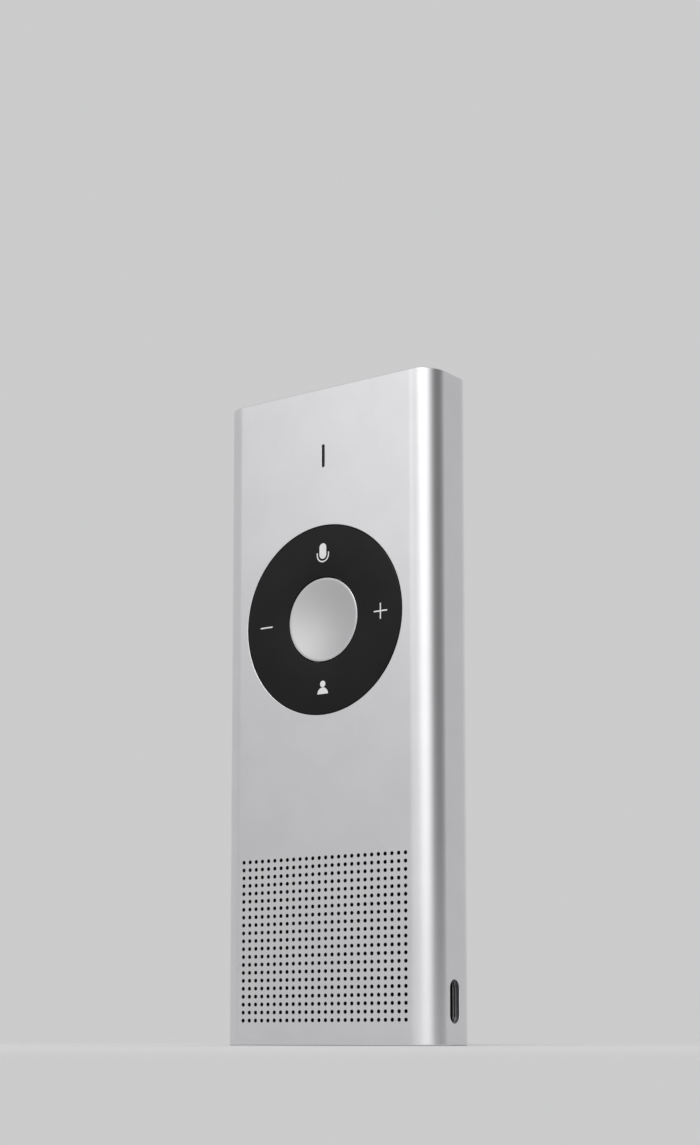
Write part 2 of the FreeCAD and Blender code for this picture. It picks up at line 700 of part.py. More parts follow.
def make_inner_frame():
    """Slide-in chassis: two rails, four cross bars and the charging board's shelf."""
    back = f"({BACK_IN} - dims.rail_back_gap)"
    rails = [
        block((f"-{RAIL_OUT}", f"-{RAIL_IN}"), (BOARD_BACK, back), (FRAME_FOOT, FRAME_TOP)),
        block((RAIL_IN, RAIL_OUT), (BOARD_BACK, back), (FRAME_FOOT, FRAME_TOP))]
    across = (f"-{RAIL_IN}", RAIL_IN)
    bar_back = f"({BACK_IN} - dims.bar_back_gap)"
    deep_bars = [
        block(across, (BOARD_BACK, bar_back), (bar, f"{bar} + dims.bar_width"))
        for bar in (LOWER_BAR, UPPER_BAR, TOP_BAR)]
    middle = block(
        across, (BOARD_BACK, f"{BOARD_BACK} + dims.middle_bar_sheet"),
        (MIDDLE_BAR, f"{MIDDLE_BAR} + dims.bar_width"))
    shelf = block(
        (CHARGE_LEFT, RAIL_IN), (CHARGE_BACK, f"{CHARGE_BACK} + dims.shelf_sheet"),
        (FRAME_FOOT, CHARGE_TOP))
    frame = joined(rails + deep_bars + [middle, shelf])
    room = "(dims.port_shell_width / 2 + 2 * dims.port_wall_gap)"
    port_room = block(
        (f"{RAIL_IN} - dims.cut_overrun", f"{RAIL_OUT} + dims.cut_overrun"),
        (f"{BOARD_BACK} - dims.cut_overrun", CHARGE_BACK),
        (f"{PORT_Z} - {room}", f"{PORT_Z} + {room}"))
    bore_start = f"{BOARD_BACK} - dims.cut_overrun"
    bore_end = f"{BOARD_FRONT} + dims.screw_length + dims.screw_end_gap"
    bores = [
        rod(x, z, bore_start, bore_end, "(dims.screw_shank + 2 * dims.screw_fit)")
        for x, z in board_screw_places() + ear_places()]
    keep(minus(frame, group([port_room] + bores)), "inner_frame")


def make_battery():
    body = new_body("cell")
    outline = sketch_on(body, "XY_Plane", BATTERY_FOOT)
    rectangle(outline, f"-{BATTERY_SIDE}", BATTERY_SIDE, BATTERY_FRONT, BATTERY_BACK)
    feature = pad(body, outline, f"{BATTERY_TOP} - {BATTERY_FOOT}")
    dress(body, "Fillet", feature, "dims.battery_round", lambda edge: runs_along(edge, "z"))
    keep(body, "battery_cell")
    tape = block(
        (f"-({BATTERY_SIDE} - dims.tape_inset)", f"{BATTERY_SIDE} - dims.tape_inset"),
        (BATTERY_BACK, BACK_IN),
        (f"{BATTERY_FOOT} + dims.tape_inset", f"{BATTERY_TOP} - dims.tape_inset"))
    keep(tape, "battery_tape")
    plug = block(
        ("-dims.lead_column - dims.plug_width / 2", "-dims.lead_column + dims.plug_width / 2"),
        (BOARD_BACK, f"{BOARD_BACK} + dims.plug_rise"),
        (f"{BATTERY_TOP} + dims.lead_rise - dims.plug_length / 2",
         f"{BATTERY_TOP} + dims.lead_rise + dims.plug_length / 2"))
    keep(plug, "battery_plug")


def make_battery_leads():
    """Two insulated wires from the cell's top, round the upper bar and into the plug."""
    values = {name: float(sheet.get(name)) for name in SIZES}
    back_in = values["depth"] / 2 - values["wall"]
    key_z = values["height"] - values["key_from_top"]
    foot = key_z + values["ear_offset"] - values["bar_width"] / 2 - values["battery_end_gap"]
    behind_bar = back_in - values["bar_back_gap"] / 2
    plug_face = (
        -values["depth"] / 2 + values["board_depth"] + values["board_sheet"] + values["plug_rise"])
    rise = values["lead_rise"]
    bend = (behind_bar - plug_face) * LEAD_BEND
    wires = []
    for side in (-1, 1):
        x = -values["lead_column"] + side * values["lead_spacing"] / 2
        start = Vector(x, behind_bar, foot)
        ring = Part.Circle(start, Vector(0, 0, 1), values["lead_across"] / 2)
        section = Part.Face(Part.Wire([ring.toShape()]))
        upward = section.extrude(Vector(0, 0, rise - bend))
        section.translate(Vector(0, 0, rise - bend))
        pivot = Vector(x, behind_bar - bend, foot + rise - bend)
        turn = section.revolve(pivot, Vector(1, 0, 0), 90)
        section.rotate(pivot, Vector(1, 0, 0), 90)
        inward = section.extrude(Vector(0, plug_face - behind_bar + bend, 0))
        wires.append(upward.fuse([turn, inward]))
    piece = doc.addObject("Part::Feature", "leads")
    piece.Shape = Part.makeCompound(wires)
    keep(piece, "battery_leads")


def rounded_plate(body, front, inset, length):
    """A rounded rectangle of the speaker's outline, padded back from front."""
    sketch = sketch_on(body, "XZ_Plane", f"-({front})")
    half_width = f"(dims.speaker_width / 2 - {inset})"
    half_length = f"(dims.speaker_length / 2 - {inset})"
    rectangle(
        sketch, f"-{half_width}", half_width,
        f"{SPEAKER_Z} - {half_length}", f"{SPEAKER_Z} + {half_length}")
    feature = pad(body, sketch, length, backward=True)
    return dress(
        body, "Fillet", feature, f"dims.speaker_corner - {inset}",
        lambda edge: runs_along(edge, "y"))


def make_speaker():
    """Dust cloth, sealing gasket, basket with side ears, cone and magnet."""
    half_span = f"({FIELD_SPAN} / 2 + dims.cloth_margin)"
    cloth = block(
        (f"-{half_span}", half_span), (FRONT_IN, GASKET_FRONT),
        ("dims.first_row - dims.cloth_margin", f"{FIELD_TOP} + dims.cloth_margin"))
    keep(cloth, "speaker_cloth")

    gasket = new_body("gasket")
    rounded_plate(gasket, GASKET_FRONT, "0", "dims.gasket_sheet")
    window = sketch_on(gasket, "XZ_Plane", f"-{GASKET_FRONT}")
    half_width = "(dims.speaker_width / 2 - dims.gasket_width)"
    half_length = "(dims.speaker_length / 2 - dims.gasket_width)"
    rectangle(
        window, f"-{half_width}", half_width,
        f"{SPEAKER_Z} - {half_length}", f"{SPEAKER_Z} + {half_length}")
    pocket(gasket, window, "dims.gasket_sheet")
    keep(gasket, "speaker_gasket")

    basket = new_body("basket")
    rounded_plate(basket, BASKET_FRONT, "0", f"{BOARD_BACK} - {BASKET_FRONT}")
    ears = sketch_on(basket, "XZ_Plane", f"-{BOARD_BACK}")
    reach = f"({RAIL_IN} + dims.speaker_ear_lap)"
    half = "dims.speaker_ear_width / 2"
    rectangle(ears, f"-{reach}", reach, f"{SPEAKER_Z} - {half}", f"{SPEAKER_Z} + {half}")
    pad(basket, ears, "dims.basket_wall")
    bowl = sketch_on(basket, "XZ_Plane", f"-{BASKET_FRONT}")
    half_width = "(dims.speaker_width / 2 - dims.gasket_width)"
    half_length = "(dims.speaker_length / 2 - dims.gasket_width)"
    rectangle(
        bowl, f"-{half_width}", half_width,
        f"{SPEAKER_Z} - {half_length}", f"{SPEAKER_Z} + {half_length}")
    pocket(basket, bowl, f"{BOARD_BACK} - dims.basket_wall - {BASKET_FRONT}")
    keep(basket, "speaker_basket")

    cone = new_body("cone")
    profile = sketch_on(cone, "XY_Plane", SPEAKER_Z)
    rim = "(dims.speaker_length / 2 - dims.gasket_width - dims.cone_edge_gap)"
    coil = "(dims.coil_across / 2)"
    low = f"({BASKET_FRONT} + dims.cone_drop)"
    polygon(profile, [
        ("0", low), (coil, low), (rim, BASKET_FRONT),
        (rim, f"{BASKET_FRONT} + dims.cone_sheet"), (coil, f"{low} + dims.cone_sheet"),
        ("0", f"{low} + dims.cone_sheet")])
    revolve(cone, profile)
    keep(cone, "speaker_cone")
    magnet = rod("0", SPEAKER_Z, BOARD_BACK, f"{BOARD_BACK} + dims.magnet_length",
                 "dims.magnet_across")
    keep(magnet, "speaker_magnet")


def make_charging_port():
    """Socket shell and tongue on their own small board behind the cut-out."""
    half_width = "dims.port_shell_width / 2"
    half_height = "dims.port_shell_height / 2"
    start = f"({PORT_END} - dims.port_shell_length)"
    body = new_body("socket")
    outline = sketch_on(body, "YZ_Plane", start)
    rectangle(
        outline, f"{PORT_Y} - {half_height}", f"{PORT_Y} + {half_height}",
        f"{PORT_Z} - {half_width}", f"{PORT_Z} + {half_width}")
    pad(body, outline, "dims.port_shell_length")
    mouth = sketch_on(body, "YZ_Plane", PORT_END)
    rectangle(
        mouth, f"{PORT_Y} - {half_height} + dims.port_sheet",
        f"{PORT_Y} + {half_height} - dims.port_sheet",
        f"{PORT_Z} - {half_width} + dims.port_sheet",
        f"{PORT_Z} + {half_width} - dims.port_sheet")
    pocket(body, mouth, "dims.port_shell_length - dims.port_sheet")
    keep(body, "charge_socket_shell")
    tongue_start = f"({start} + dims.port_sheet)"
    tongue = block(
        (tongue_start, f"{tongue_start} + dims.tongue_length"),
        (f"{PORT_Y} - dims.tongue_thickness / 2", f"{PORT_Y} + dims.tongue_thickness / 2"),
        (f"{PORT_Z} - dims.tongue_width / 2", f"{PORT_Z} + dims.tongue_width / 2"))
    keep(tongue, "charge_socket_tongue")
    board = block((CHARGE_LEFT, RAIL_IN), (PORT_BACK, CHARGE_BACK), (CHARGE_FOOT, CHARGE_TOP))
    keep(board, "charge_board")

    # Flat cable from the small board's front face up to the main board's back face
    column = (
        f"{RAIL_IN} - dims.flex_width - dims.flex_side_gap", f"{RAIL_IN} - dims.flex_side_gap")
    crossing = f"({LOWER_BAR} - 2 * dims.flex_sheet)"
    rise = block(
        column, (f"{PORT_BACK} - dims.flex_sheet", PORT_BACK),
        (f"{PORT_Z} + {half_width} + dims.flex_socket_gap", f"{crossing} + dims.flex_sheet"))
    step = block(
        column, (BOARD_BACK, PORT_BACK), (crossing, f"{crossing} + dims.flex_sheet"))
    landing = block(
        column, (BOARD_BACK, f"{BOARD_BACK} + dims.flex_sheet"),
        (f"{BOARD_FOOT} + dims.flex_foot_gap", f"{crossing} + dims.flex_sheet"))
    keep(joined([rise, step, landing]), "board_link_flex")


def make_indicator():
    """Dark window in the slot, its light guide and the lamp behind it."""
    body = new_body("lens")
    window = sketch_on(body, "XZ_Plane", f"-({FRONT} + dims.lens_recess)")
    upright_slot(
        window, "0", SLOT_Z, "(dims.slot_length - 2 * dims.lens_fit)",
        "(dims.slot_width - 2 * dims.lens_fit)")
    pad(body, window, "dims.wall - dims.lens_recess", backward=True)
    lip = sketch_on(body, "XZ_Plane", f"-{FRONT_IN}")
    upright_slot(
        lip, "0", SLOT_Z, "(dims.slot_length + 2 * dims.lens_lip)",
        "(dims.slot_width + 2 * dims.lens_lip)")
    pad(body, lip, "dims.lens_flange", backward=True)
    guide = sketch_on(body, "XZ_Plane", f"-({FRONT_IN} + dims.lens_flange)")
    half_width = "dims.led_width / 2"
    half_length = "dims.led_length / 2"
    rectangle(
        guide, f"-{half_width}", half_width,
        f"{SLOT_Z} - {half_length}", f"{SLOT_Z} + {half_length}")
    led_front = f"({BOARD_FRONT} - dims.led_rise)"
    pad(body, guide, f"{led_front} - {FRONT_IN} - dims.lens_flange", backward=True)
    keep(body, "indicator_lens")
    led = block(
        (f"-{half_width}", half_width), (led_front, BOARD_FRONT),
        (f"{SLOT_Z} - {half_length}", f"{SLOT_Z} + {half_length}"))
    keep(led, "indicator_led")


def shield(left, right, low, high):
    """A pressed can, open towards the board."""
    can = block((left, right), (BOARD_BACK, f"{BOARD_BACK} + dims.shield_rise"), (low, high))
    inside = block(
        (f"{left} + dims.shield_sheet", f"{right} - dims.shield_sheet"),
        (f"{BOARD_BACK} - dims.cut_overrun",
         f"{BOARD_BACK} + dims.shield_rise - dims.shield_sheet"),
        (f"{low} + dims.shield_sheet", f"{high} - dims.shield_sheet"))
    return minus(can, inside)


def make_electronics():
    low = f"({UPPER_BAR} + dims.bar_width + dims.shield_bar_gap)"
    high = f"({TOP_BAR} - dims.shield_bar_gap)"
    radio_right = f"({BOARD_EDGE} - dims.radio_shield_margin)"
    radio_left = f"({radio_right} - dims.radio_shield_width)"
    processor_left = "(-dims.lead_column + dims.plug_width / 2 + dims.shield_plug_gap)"
    processor_right = f"({radio_left} - dims.shield_gap)"
    keep(shield(processor_left, processor_right, low, high), "processor_shield")
    keep(shield(radio_left, radio_right, low, high), "radio_shield")
    chips = [
        block((f"{x}", f"{x} + dims.chip_side"),
              (f"{BOARD_FRONT} - dims.chip_rise", BOARD_FRONT),
              (f"{LOWER_BAR} + {rise}", f"{LOWER_BAR} + {rise} + dims.chip_side"))
        for x, rise in CHIP_PLACES]
    keep(group(chips), "chips")
    middle = "(-dims.sound_hole_offset)"
    half = "dims.microphone_width / 2"
    microphone = block(
        (f"{middle} - {half}", f"{middle} + {half}"),
        (BOARD_BACK, f"{BOARD_BACK} + dims.microphone_rise"),
        (f"{BOARD_TOP} - dims.microphone_length", BOARD_TOP))
    keep(microphone, "microphone")
    ceiling = f"(dims.height - {CAP_INNER})"
    boot = block(
        (f"{middle} - {half} - dims.boot_margin", f"{middle} + {half} + dims.boot_margin"),
        (BOARD_FRONT, "dims.sound_hole / 2 + dims.boot_margin"), (BOARD_TOP, ceiling))
    duct = doc.addObject("Part::Cylinder", "duct")
    duct.setExpression("Radius", "dims.sound_hole / 2")
    duct.setExpression("Height", f"{ceiling} - {BOARD_TOP} + 2 * dims.cut_overrun")
    duct.setExpression("Placement.Base.x", middle)
    duct.setExpression("Placement.Base.z", f"{BOARD_TOP} - dims.cut_overrun")
    keep(minus(boot, duct), "microphone_boot")
    antenna = block(
        ("-dims.antenna_width / 2", "dims.antenna_width / 2"),
        (f"{BACK_IN} - dims.cap_fit - dims.skirt_wall - dims.antenna_depth / 2",
         f"{BACK_IN} - dims.cap_fit - dims.skirt_wall"),
        (f"{ceiling} - dims.antenna_sheet", ceiling))
    keep(antenna, "antenna_strip")


make_sleeve()
make_end_cap("top_end_cap", True)
make_end_cap("bottom_end_cap", False)
make_nav_ring()
make_centre_button()
make_gimbal_plate()
make_key_holder()
make_domes()
make_main_board()
make_screws()
make_inner_frame()
make_battery()
make_battery_leads()
make_speaker()
make_charging_port()
make_indicator()
make_electronics()
doc.recompute()

faults = [item.Name for item in doc.Objects if {"Invalid", "Error"} & set(item.State)]
faults += [item.Label for item in nodes if item.Shape.isNull() or not item.Shape.isValid()]
if faults:
    raise RuntimeError(f"not built: {faults}")

os.makedirs("parts", exist_ok=True)
for node in nodes:
    node.Shape.exportStep(f"parts/{node.Label}.step")
    box = node.Shape.BoundBox
    print(f"{node.Label:22s} volume {node.Shape.Volume:10.2f}  "
          f"x {box.XMin:7.2f} {box.XMax:7.2f}  y {box.YMin:6.2f} {box.YMax:6.2f}  "
          f"z {box.ZMin:7.2f} {box.ZMax:7.2f}  solids {len(node.Shape.Solids)}")
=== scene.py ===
"""Looks for the handheld translator: silver anodised tube, black rocker ring, dished button."""

import json
import math

import bmesh
import bpy
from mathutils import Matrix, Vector
from mathutils.geometry import delaunay_2d_cdt


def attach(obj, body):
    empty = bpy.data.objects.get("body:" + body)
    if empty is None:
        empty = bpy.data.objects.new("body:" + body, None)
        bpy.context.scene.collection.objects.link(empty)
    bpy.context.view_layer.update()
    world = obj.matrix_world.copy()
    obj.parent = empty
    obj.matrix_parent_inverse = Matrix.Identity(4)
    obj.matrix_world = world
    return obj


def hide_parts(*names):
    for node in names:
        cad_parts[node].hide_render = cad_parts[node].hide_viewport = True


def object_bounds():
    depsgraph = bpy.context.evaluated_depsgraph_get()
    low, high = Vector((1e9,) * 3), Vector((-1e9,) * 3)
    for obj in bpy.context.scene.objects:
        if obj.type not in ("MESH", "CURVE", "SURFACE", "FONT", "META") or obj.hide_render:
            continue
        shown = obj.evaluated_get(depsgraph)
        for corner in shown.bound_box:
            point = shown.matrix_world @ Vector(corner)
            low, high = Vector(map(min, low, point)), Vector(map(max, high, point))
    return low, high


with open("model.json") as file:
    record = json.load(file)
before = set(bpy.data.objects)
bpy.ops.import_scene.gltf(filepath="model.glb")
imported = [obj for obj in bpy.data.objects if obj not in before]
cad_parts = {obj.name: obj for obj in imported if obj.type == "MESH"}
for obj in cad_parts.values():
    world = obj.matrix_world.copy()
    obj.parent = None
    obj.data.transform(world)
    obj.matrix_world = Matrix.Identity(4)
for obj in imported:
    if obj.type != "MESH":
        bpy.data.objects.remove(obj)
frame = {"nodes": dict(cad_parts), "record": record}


def box_as_lists(box):
    return [[float(value) for value in corner] for corner in box]


CAD_BOX = box_as_lists(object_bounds())
MM = 0.001

# Sizes in millimetres, taken from the frame where it holds them. The ends of plungers and pivots
# are places along Y.
LOW, HIGH = [[value / MM for value in corner] for corner in CAD_BOX]
WIDTH = HIGH[0] - LOW[0]
DEPTH = HIGH[1] - LOW[1]
HEIGHT = HIGH[2] - LOW[2]
FRONT = LOW[1]
BACK = HIGH[1]
SIDE = HIGH[0]
WALL = 1.0
FRONT_CORNER = 4.8
BACK_CORNER = 2.5
END_ROUND = 0.25

# Sides that stand for a rounded corner, and the distance at which vertices become one
FRONT_STEPS = 36
BACK_STEPS = 16
EDGE_STEPS = 5
MERGE = 0.0001

KEY_Z = HEIGHT - 44.85
RING_RADIUS = 18.0
BUTTON_RADIUS = 8.0
KEY_GAP = 0.15
APERTURE_RADIUS = RING_RADIUS + KEY_GAP
RING_LIFT = 0.5
RING_CEILING = FRONT + WALL + RING_LIFT
PLUNGER_END = -2.98
PIVOT_END = -3.75

HOLE_RADIUS = 0.37
HOLE_PITCH = 1.5
HOLE_COLUMNS = 26
HOLE_ROWS = 21
FIRST_ROW = 4.65

SLOT_Z = HEIGHT - 13.2
SLOT_LENGTH = 4.5
SLOT_WIDTH = 0.7

PORT_Y = FRONT + 7.13
PORT_Z = 7.92
PORT_LENGTH = 7.9
PORT_WIDTH = 3.0


# Small mesh helpers


def circle_points(centre, radius, count):
    """Points round a circle in a plane, anticlockwise."""
    return [
        (centre[0] + radius * math.cos(2 * math.pi * i / count),
         centre[1] + radius * math.sin(2 * math.pi * i / count))
        for i in range(count)]


def slot_points(centre, length, width, steps):
    """Points round an upright slot with round ends, anticlockwise."""
    radius = width / 2
    reach = (length - width) / 2
    points = []
    for end, start in ((reach, 0.0), (-reach, math.pi)):
        for i in range(steps + 1):
            angle = start + math.pi * i / steps
            points.append((
                centre[0] + radius * math.cos(angle), centre[1] + end + radius * math.sin(angle)))
    return points


def rounded_outline(inset):
    """The tube's section, moved in by inset: points (x, y) anticlockwise from the front's right
    end, so that its last side is the front and side FRONT_STEPS is the right one."""
    half_width = WIDTH / 2 - inset
    half_depth = DEPTH / 2 - inset
    front = FRONT_CORNER - inset
    back = BACK_CORNER - inset
    corners = (
        (half_width - front, -half_depth + front, front, -90, FRONT_STEPS),
        (half_width - back, half_depth - back, back, 0, BACK_STEPS),
        (-half_width + back, half_depth - back, back, 90, BACK_STEPS),
        (-half_width + front, -half_depth + front, front, 180, FRONT_STEPS))
    points = []
    for x, y, radius, start, steps in corners:
        for i in range(steps + 1):
            angle = math.radians(start + 90 * i / steps)
            points.append((x + radius * math.cos(angle), y + radius * math.sin(angle)))
    return points


def new_object(name, bm, smooth=True):
    """Turns a bmesh in millimetres into an object in metres."""
    bmesh.ops.scale(bm, vec=(MM, MM, MM), verts=bm.verts)
    mesh = bpy.data.meshes.new(name)
    bm.to_mesh(mesh)
    bm.free()
    if smooth:
        mesh.shade_smooth()
    piece = bpy.data.objects.new(name, mesh)
    bpy.context.scene.collection.objects.link(piece)
    return piece


def split_sharp(piece, degrees):
    """Keeps flat faces flat where they meet at more than an angle."""
    with bpy.context.temp_override(object=piece, active_object=piece, selected_objects=[piece]):
        piece.data.set_sharp_from_angle(angle=math.radians(degrees))


def bridge(bm, lower, upper, skip=(), material=0):
    """Quads between two closed rows of vertices of the same length."""
    count = len(lower)
    for i in range(count):
        if i in skip:
            continue
        j = (i + 1) % count
        bm.faces.new((lower[i], lower[j], upper[j], upper[i])).material_index = material


def holed_panel(bm, place, outline, holes, flip):
    """A flat face with holes. place maps (u, v) to a vertex; returns the vertices of each loop."""
    points = []
    loops = []
    for loop in [outline] + holes:
        loops.append(list(range(len(points), len(points) + len(loop))))
        points.extend(Vector(point) for point in loop)
    edges = [
        (loop[i], loop[(i + 1) % len(loop)]) for loop in loops for i in range(len(loop))]
    made_points, _, triangles, origin, _, _ = delaunay_2d_cdt(points, edges, [], 0, 1e-5)
    vertices = [bm.verts.new(place(point)) for point in made_points]
    made_from = {}
    for made, sources in enumerate(origin):
        for source in sources:
            made_from[source] = made
    hole_of = {}
    for number, loop in enumerate(loops[1:]):
        for source in loop:
            hole_of[made_from[source]] = number
    # A triangle whose corners all lie on one hole would fill it, and is left out
    for triangle in triangles:
        touched = {hole_of.get(index, -1) for index in triangle}
        if len(touched) == 1 and -1 not in touched:
            continue
        order = triangle if not flip else tuple(reversed(triangle))
        bm.faces.new([vertices[index] for index in order])
    return [[vertices[made_from[source]] for source in loop] for loop in loops]


# Materials

# Depth of the fine surface grain, in metres
GRAIN_DEPTH = 0.00001


def new_material(name):
    material = bpy.data.materials.new(name)
    material.use_nodes = True
    nodes = material.node_tree.nodes
    shader = nodes["Principled BSDF"]
    return material, material.node_tree, shader


def add_node(tree, kind, **settings):
    node = tree.nodes.new(kind)
    for name, value in settings.items():
        if name in node.inputs:
            node.inputs[name].default_value = value
        else:
            setattr(node, name, value)
    return node


def object_position(tree):
    return add_node(tree, "ShaderNodeTexCoord").outputs["Object"]


def noise(tree, vector, scale, detail=3.0):
    node = add_node(tree, "ShaderNodeTexNoise", Scale=scale, Detail=detail, Roughness=0.55)
    tree.links.new(vector, node.inputs["Vector"])
    return node.outputs["Fac"]


def ramp(tree, value, stops):
    """A colour ramp between two (position, colour) pairs."""
    node = add_node(tree, "ShaderNodeValToRGB")
    for element, (position, colour) in zip(node.color_ramp.elements, stops):
        element.position = position
        element.color = (*colour, 1.0)
    tree.links.new(value, node.inputs["Fac"])
    return node.outputs["Color"]


def span(tree, value, low, high):
    """Maps 0..1 to low..high."""
    node = add_node(tree, "ShaderNodeMapRange")
    node.inputs["To Min"].default_value = low
    node.inputs["To Max"].default_value = high
    tree.links.new(value, node.inputs["Value"])
    return node.outputs["Result"]


def bump(tree, shader, value, strength):
    node = add_node(tree, "ShaderNodeBump", Strength=strength, Distance=GRAIN_DEPTH)
    tree.links.new(value, node.inputs["Height"])
    tree.links.new(node.outputs["Normal"], shader.inputs["Normal"])


def blasted_metal(name, colour, roughness, strength=0.25):
    """Fine bead-blasted anodised metal: slight mottling and a fine grain."""
    material, tree, shader = new_material(name)
    place = object_position(tree)
    mottle = noise(tree, place, 120.0, detail=4.0)
    fine = noise(tree, place, 9000.0, detail=2.0)
    darker = tuple(value * 0.965 for value in colour)
    tree.links.new(
        ramp(tree, mottle, ((0.35, darker), (0.65, colour))), shader.inputs["Base Color"])
    tree.links.new(
        span(tree, fine, roughness - 0.04, roughness + 0.04), shader.inputs["Roughness"])
    shader.inputs["Metallic"].default_value = 1.0
    bump(tree, shader, fine, strength)
    return material


def moulded_plastic(
        name, colour, roughness, grain=5000.0, strength=0.2, spread=0.06, specular=0.5):
    """Plastic with a fine spark-eroded grain and slight changes in gloss."""
    material, tree, shader = new_material(name)
    place = object_position(tree)
    fine = noise(tree, place, grain, detail=3.0)
    broad = noise(tree, place, 150.0)
    lighter = tuple(min(1.0, value * 1.12 + 0.002) for value in colour)
    shader.inputs["Specular IOR Level"].default_value = specular
    tree.links.new(
        ramp(tree, broad, ((0.3, colour), (0.7, lighter))), shader.inputs["Base Color"])
    tree.links.new(
        span(tree, fine, roughness - spread, roughness + spread), shader.inputs["Roughness"])
    bump(tree, shader, fine, strength)
    return material


def spun_metal(name, colour, roughness):
    """Turned metal with faint rings round the key's axis."""
    material, tree, shader = new_material(name)
    place = object_position(tree)
    centred = add_node(tree, "ShaderNodeVectorMath", operation="SUBTRACT")
    centred.inputs[1].default_value = (0.0, 0.0, KEY_Z * MM)
    tree.links.new(place, centred.inputs[0])
    flat = add_node(tree, "ShaderNodeVectorMath", operation="MULTIPLY")
    flat.inputs[1].default_value = (1.0, 0.0, 1.0)
    tree.links.new(centred.outputs["Vector"], flat.inputs[0])
    radius = add_node(tree, "ShaderNodeVectorMath", operation="LENGTH")
    tree.links.new(flat.outputs["Vector"], radius.inputs[0])
    rings = add_node(tree, "ShaderNodeTexNoise", Scale=14000.0, Detail=2.0)
    rings.noise_dimensions = "1D"
    tree.links.new(radius.outputs["Value"], rings.inputs["W"])
    fine = noise(tree, place, 7000.0)
    both = add_node(tree, "ShaderNodeMath", operation="ADD")
    tree.links.new(rings.outputs["Fac"], both.inputs[0])
    tree.links.new(fine, both.inputs[1])
    darker = tuple(value * 0.95 for value in colour)
    tree.links.new(
        ramp(tree, rings.outputs["Fac"], ((0.3, darker), (0.7, colour))),
        shader.inputs["Base Color"])
    tree.links.new(
        span(tree, fine, roughness - 0.03, roughness + 0.05), shader.inputs["Roughness"])
    shader.inputs["Metallic"].default_value = 1.0
    bump(tree, shader, both.outputs["Value"], 0.15)
    return material


MATERIALS = {
    "anodised_aluminium": blasted_metal("anodised_aluminium", (0.80, 0.80, 0.81), 0.34),
    "button_metal": spun_metal("button_metal", (0.65, 0.65, 0.655), 0.38),
    "ring_black": moulded_plastic("ring_black", (0.004, 0.004, 0.0045), 0.36, specular=0.22),
    "cap_plastic": moulded_plastic("cap_plastic", (0.50, 0.50, 0.51), 0.5),
    "lens_dark": moulded_plastic(
        "lens_dark", (0.004, 0.004, 0.005), 0.25, strength=0.05, specular=0.3),
    "lamp": moulded_plastic("lamp", (0.75, 0.72, 0.60), 0.3),
    "spring_steel": blasted_metal("spring_steel", (0.60, 0.60, 0.60), 0.3, strength=0.1),
    "screw_steel": blasted_metal("screw_steel", (0.42, 0.42, 0.43), 0.35, strength=0.1),
    # The socket's steel is darkened well below its own grey: painted shade inside the port
    "socket_metal": blasted_metal("socket_metal", (0.24, 0.24, 0.24), 0.35, strength=0.1),
    "insulator": moulded_plastic("insulator", (0.015, 0.015, 0.015), 0.5),
    "frame_plastic": moulded_plastic("frame_plastic", (0.04, 0.04, 0.042), 0.55),
    "board_laminate": moulded_plastic("board_laminate", (0.01, 0.05, 0.025), 0.3, strength=0.1),
    "shield_tin": blasted_metal("shield_tin", (0.62, 0.62, 0.61), 0.35, strength=0.1),
    "cell_foil": blasted_metal("cell_foil", (0.50, 0.51, 0.53), 0.45, strength=0.2),
    "tape": moulded_plastic("tape", (0.60, 0.57, 0.45), 0.7),
    "wire_red": moulded_plastic("wire_red", (0.40, 0.015, 0.012), 0.4),
    "flex_amber": moulded_plastic("flex_amber", (0.35, 0.13, 0.02), 0.3, strength=0.1),
    "dust_cloth": moulded_plastic("dust_cloth", (0.008, 0.008, 0.008), 0.9, grain=2500.0),
    "foam": moulded_plastic("foam", (0.015, 0.015, 0.015), 0.9, grain=3000.0),
    "cone_film": moulded_plastic("cone_film", (0.02, 0.02, 0.02), 0.5),
    "magnet": blasted_metal("magnet", (0.4, 0.4, 0.4), 0.35, strength=0.1),
    # Near-black metal on the walls of the small holes: painted shade inside the drilled field
    "hole_wall_painted_shade": blasted_metal("hole_wall_painted_shade", (0.05, 0.05, 0.052), 0.6, strength=0.1),
    "legend_white": moulded_plastic(
        "legend_white", (0.80, 0.80, 0.80), 0.55, strength=0.05, spread=0.03),
}


def dress_frame():
    """Gives every node from the frame the material of its slot."""
    for subpart in frame["record"]["subparts"]:
        mesh = frame["nodes"][subpart["node"]].data
        mesh.materials.clear()
        mesh.materials.append(MATERIALS[subpart["material_slot"]])


def finish_piece(piece, material, body, slot, *nodes):
    """Material and rider of a new piece, and the nodes it stands for; slot is not used."""
    piece.data.materials.append(MATERIALS[material])
    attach(piece, body)
    if nodes:
        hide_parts(*nodes)


# Tube


def end_steps():
    """Inset and height of the rows that round an end, from the side wall to the end face."""
    steps = 4
    rows = []
    for i in range(steps + 1):
        angle = math.pi / 2 * i / steps
        rows.append((END_ROUND * (1 - math.cos(angle)), END_ROUND * (1 - math.sin(angle))))
    return rows


def front_holes(grow):
    """The front's openings: the aperture for the keys, the slot, then the drilled field. Each is
    wider by grow or by its share of it."""
    columns = [(i - (HOLE_COLUMNS - 1) / 2) * HOLE_PITCH for i in range(HOLE_COLUMNS)]
    rows = [FIRST_ROW + i * HOLE_PITCH for i in range(HOLE_ROWS)]
    aperture_share = 2.0
    hole_share = 0.3
    aperture = circle_points((0, KEY_Z), APERTURE_RADIUS + aperture_share * grow, 160)
    slot = slot_points((0, SLOT_Z), SLOT_LENGTH + 2 * grow, SLOT_WIDTH + 2 * grow, 10)
    field = [
        circle_points((x, z), HOLE_RADIUS + hole_share * grow, 20) for z in rows for x in columns]
    return [aperture, slot] + field


def side_holes(grow):
    """The charging port, wider by grow."""
    return [slot_points((PORT_Y, PORT_Z), PORT_LENGTH + 2 * grow, PORT_WIDTH + 2 * grow, 16)]


def on_front(depth):
    """Maps a point (x, z) to a depth below the front face."""
    return lambda point: (point[0], FRONT + depth, point[1])


